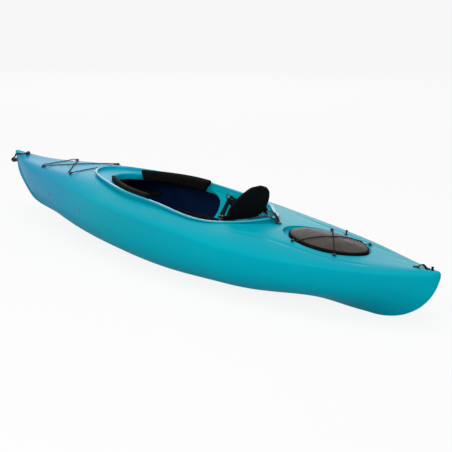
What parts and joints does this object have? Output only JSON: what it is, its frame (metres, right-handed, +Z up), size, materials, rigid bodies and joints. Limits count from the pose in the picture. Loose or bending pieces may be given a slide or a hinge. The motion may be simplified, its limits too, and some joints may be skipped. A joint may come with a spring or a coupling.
{
  "type": "sit-in recreational kayak",
  "caption": "Short sit-in kayak with an open cockpit, hinged padded backrest, foot braces, oval rear hatch under crossed elastic cords, deck rigging and carry handles.",
  "frame": {"origin": "on the ground under the middle of the whole length, bow toggle included, on the centre plane", "axes": "+X towards the bow, +Y to port, +Z up"},
  "size_m": [3.0724, 0.75, 0.4588],
  "materials": {
    "aqua_plastic": "satin",
    "black_plastic": "satin",
    "smoke_plastic": "gloss",
    "black_rubber": "matte",
    "black_fabric": "woven",
    "black_webbing": "woven webbing",
    "black_cord": "braided sleeve",
    "grey_foam": "closed-cell foam",
    "steel": "satin"
  },
  "bodies": {
    "hull": {"bow_cord": "black_cord", "bow_eye_port_front": "black_plastic", "bow_eye_port_rear": "black_plastic", "bow_eye_starboard_front": "black_plastic", "bow_eye_starboard_rear": "black_plastic", "bow_foam": "grey_foam", "bow_handle_eye": "black_plastic", "deck_shell": "aqua_plastic", "flank_strap_port": "black_webbing", "flank_strap_starboard": "black_webbing", "foot_rail_port": "black_plastic", "foot_rail_starboard": "black_plastic", "hatch_post_port_front": "black_plastic", "hatch_post_port_rear": "black_plastic", "hatch_post_starboard_front": "black_plastic", "hatch_post_starboard_rear": "black_plastic", "hatch_seal": "black_rubber", "hull_shell": "aqua_plastic", "paddle_post": "black_plastic", "pivot_bracket_port": "black_plastic", "pivot_bracket_starboard": "black_plastic", "pivot_pin_port": "steel", "pivot_pin_starboard": "steel", "rail_bolt_port_front": "steel", "rail_bolt_port_rear": "steel", "rail_bolt_starboard_front": "steel", "rail_bolt_starboard_rear": "steel", "rear_strap_port": "black_webbing", "rear_strap_starboard": "black_webbing", "seat_cushion": "black_fabric", "seat_pan": "aqua_plastic", "side_strap_port": "black_webbing", "side_strap_starboard": "black_webbing", "stern_foam": "grey_foam", "stern_screw_front": "steel", "stern_screw_rear": "steel", "stern_strap": "black_webbing", "strap_anchor": "black_plastic", "strap_anchor_screw": "steel", "strap_ring_port": "black_plastic", "strap_ring_starboard": "black_plastic", "thigh_pad_port": "black_rubber", "thigh_pad_starboard": "black_rubber"},
    "backrest": {"backrest_shell": "black_plastic", "backrest_cushion": "black_fabric"},
    "hatch_cover": {"hatch_lid": "smoke_plastic", "hatch_cord_low": "black_cord", "hatch_cord_high": "black_cord", "cord_ring_port_front": "black_plastic", "cord_ring_port_rear": "black_plastic", "cord_ring_starboard_front": "black_plastic", "cord_ring_starboard_rear": "black_plastic"},
    "pedal_port": {"foot_pedal_port": "black_plastic"},
    "pedal_starboard": {"foot_pedal_starboard": "black_plastic"},
    "bow_handle": {"bow_rope": "black_cord", "bow_toggle": "black_plastic"},
    "plug": {"drain_plug": "black_rubber"}
  },
  "joints": [
    {"name": "backrest_fold", "type": "hinge", "parent": "hull", "child": "backrest", "pos_m": [-0.36125, 0, 0.298], "axis": [0, 1, 0], "range_deg": [-8, 100]},
    {"name": "pedal_slide_port", "type": "slide", "parent": "hull", "child": "pedal_port", "axis": [0.9678, -0.2518, 0], "range_m": [-0.12, 0.12]},
    {"name": "pedal_slide_starboard", "type": "slide", "parent": "hull", "child": "pedal_starboard", "axis": [0.9678, 0.2518, 0], "range_m": [-0.12, 0.12]},
    {"name": "hatch_lift", "type": "slide", "parent": "hull", "child": "hatch_cover", "axis": [0, 0, 1], "range_m": [0, 0.15]},
    {"name": "bow_handle_swing", "type": "hinge", "parent": "hull", "child": "bow_handle", "pos_m": [1.40275, 0, 0.33109], "axis": [0, 1, 0], "range_deg": [-70, 0]},
    {"name": "plug_pull", "type": "slide", "parent": "hull", "child": "plug", "axis": [0, 0, 1], "range_m": [0, 0.03]}
  ]
}
